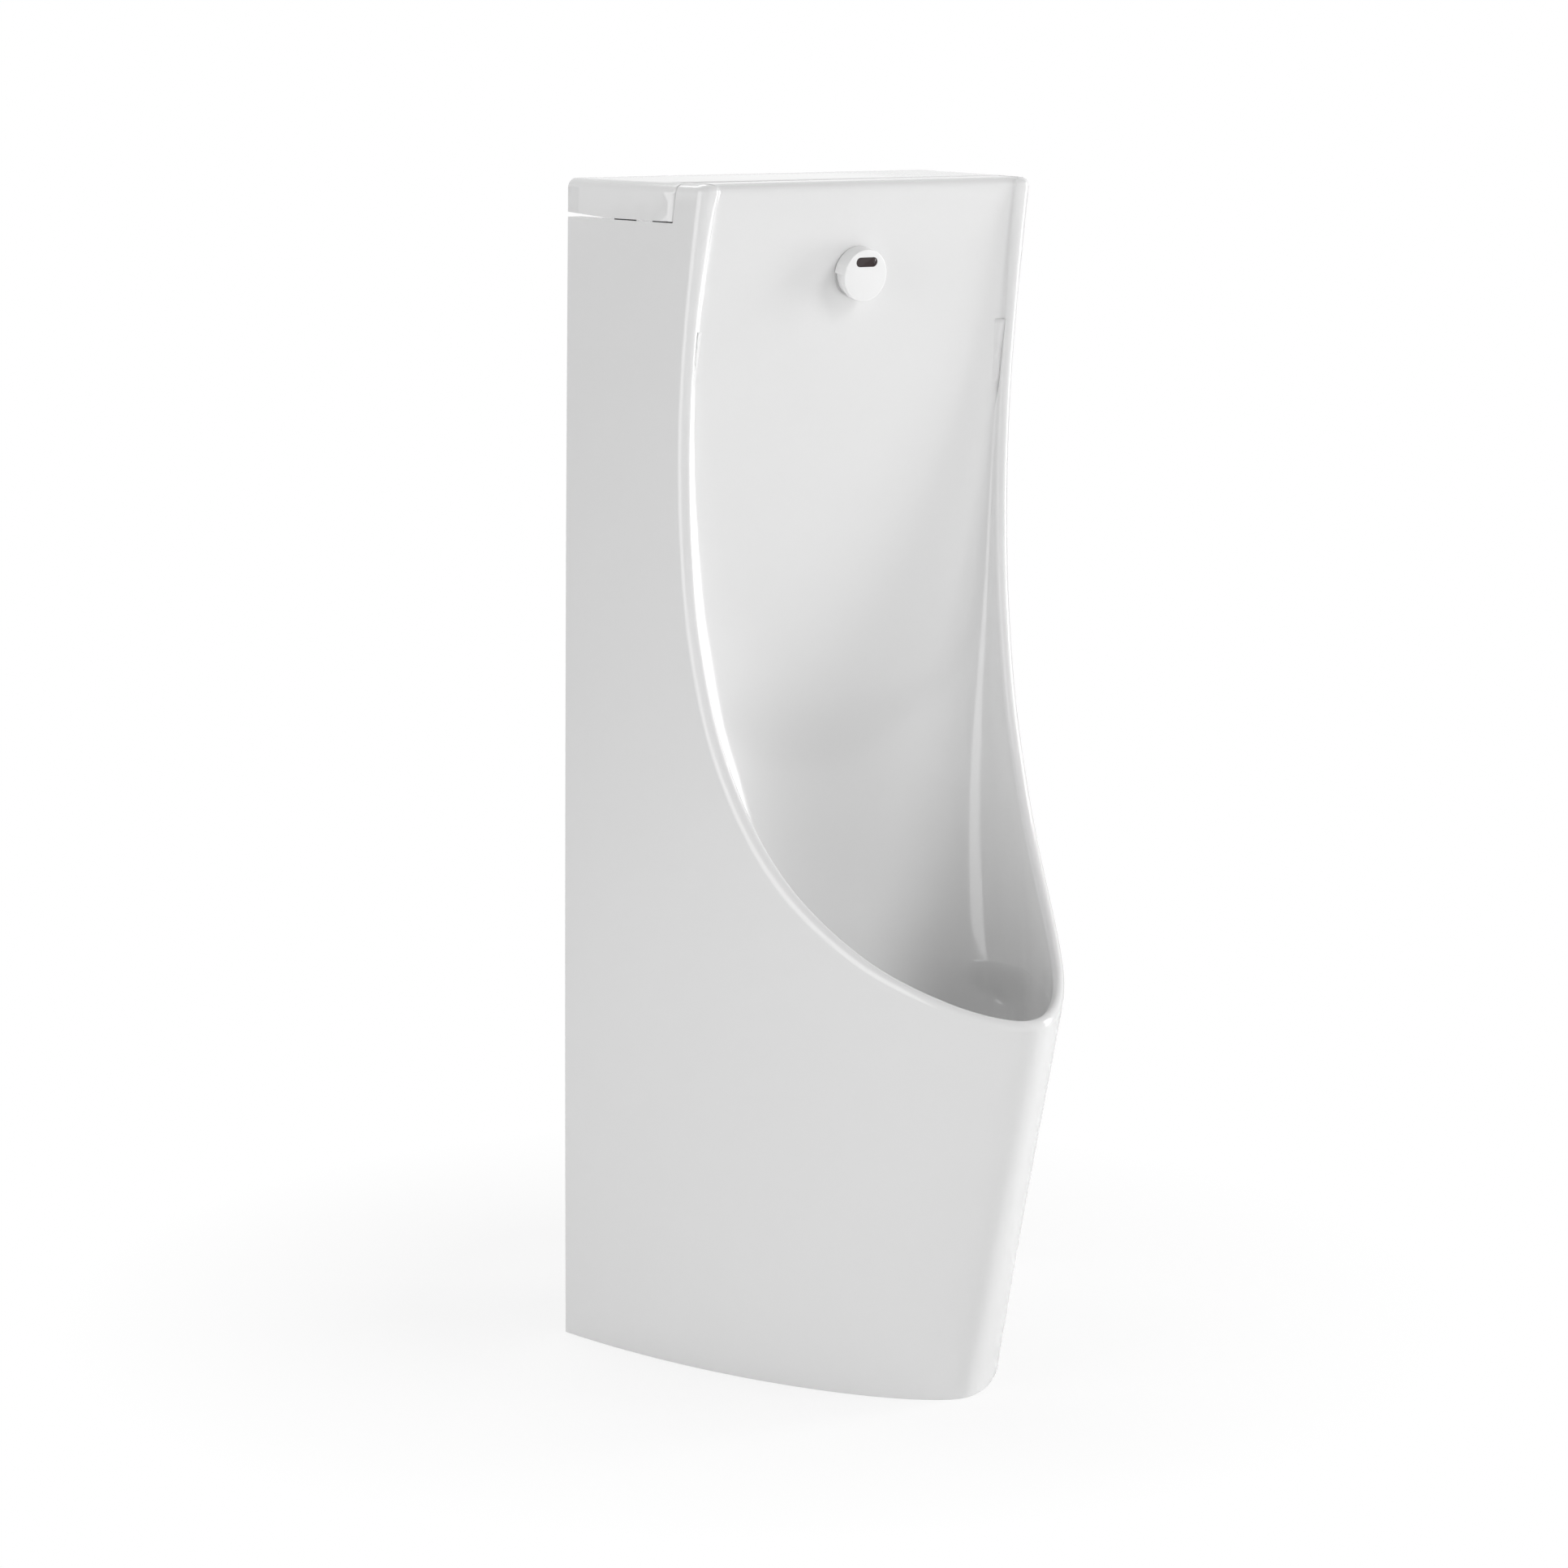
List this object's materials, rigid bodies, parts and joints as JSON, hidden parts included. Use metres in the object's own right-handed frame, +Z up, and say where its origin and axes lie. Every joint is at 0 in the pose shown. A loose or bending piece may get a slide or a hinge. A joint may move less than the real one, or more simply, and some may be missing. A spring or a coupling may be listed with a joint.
{
  "type": "floor-standing urinal",
  "caption": "Floor-standing ceramic urinal with an open bowl, lift-off cover, sensor flush head, solenoid valve and trap inside its open back.",
  "frame": {"origin": "corner between wall and floor, on the urinal's centre line", "axes": "+X to the right seen from the front, +Y into the wall, +Z up"},
  "size_m": [0.388, 0.4306, 1],
  "materials": {
    "glazed_white": "glossy white glaze",
    "white_plastic": "smooth white moulding",
    "dark_window": "dark infrared window",
    "circuit": "circuit board",
    "dark_rubber": "soft black rubber",
    "brass": "machined brass",
    "steel": "stainless steel",
    "chrome": "chrome plated",
    "grey_plastic": "grey moulding",
    "dark_plastic": "black moulding",
    "cell": "plain cell jacket"
  },
  "bodies": {
    "root": {"ceramic_body": "glazed_white", "sensor_hood": "white_plastic", "spreader_body": "white_plastic", "sensor_window": "dark_window", "infrared_emitter": "dark_window", "infrared_receiver": "dark_window", "sensor_board": "circuit", "control_board": "circuit", "head_gasket": "dark_rubber", "shank_washer": "dark_rubber", "inlet_seal": "dark_rubber", "diaphragm": "dark_rubber", "flush_hose": "dark_rubber", "sensor_cable": "dark_rubber", "valve_cable": "dark_rubber", "waste_gasket": "dark_rubber", "waste_seal": "dark_rubber", "floor_seal": "dark_rubber", "spreader_shank": "brass", "shank_nut": "brass", "shank_elbow": "brass", "stop_valve_body": "brass", "stop_gland": "brass", "inlet_nut": "brass", "filter_cap": "brass", "coupling_nut": "brass", "hose_nuts": "brass", "cleanout_plug": "brass", "service_shelf": "steel", "shelf_screws": "steel", "filter_screen": "steel", "bonnet_screws": "steel", "plunger_spring": "steel", "coil_nut": "steel", "cell_contacts": "steel", "waste_tail": "chrome", "valve_saddles": "grey_plastic", "battery_box": "grey_plastic", "trap_bend": "grey_plastic", "trap_arm": "grey_plastic", "slip_nuts": "grey_plastic", "floor_flange": "grey_plastic", "waste_nut": "grey_plastic", "solenoid_body": "dark_plastic", "valve_bonnet": "dark_plastic", "solenoid_coil": "dark_plastic", "battery_cells": "cell"},
    "top_cover": {"top_cover": "glazed_white", "cover_pads": "dark_rubber"},
    "drain_strainer": {"drain_strainer": "steel"},
    "battery_cover": {"battery_cover": "grey_plastic", "contact_plates": "steel"},
    "stop_plug": {"stop_plug": "brass", "stop_lever": "chrome"},
    "plunger": {"plunger": "steel"}
  },
  "joints": [
    {"name": "cover_lift", "type": "slide", "parent": "root", "child": "top_cover", "axis": [0, 0, 1], "range_m": [0, 0.12]},
    {"name": "strainer_lift", "type": "slide", "parent": "root", "child": "drain_strainer", "axis": [0, 0, 1], "range_m": [0, 0.06]},
    {"name": "battery_cover_lift", "type": "slide", "parent": "root", "child": "battery_cover", "axis": [0, 0, 1], "range_m": [0, 0.03]},
    {"name": "stop_turn", "type": "hinge", "parent": "root", "child": "stop_plug", "pos_m": [-0.082, -0.052, 0.862], "axis": [0, 0, 1], "range_deg": [0, 90]},
    {"name": "plunger_stroke", "type": "slide", "parent": "root", "child": "plunger", "axis": [0, 0, 1], "range_m": [0, 0.0025], "stiffness_N_per_m": 300, "springref_m": -0.004, "deforming": ["plunger_spring"]}
  ]
}
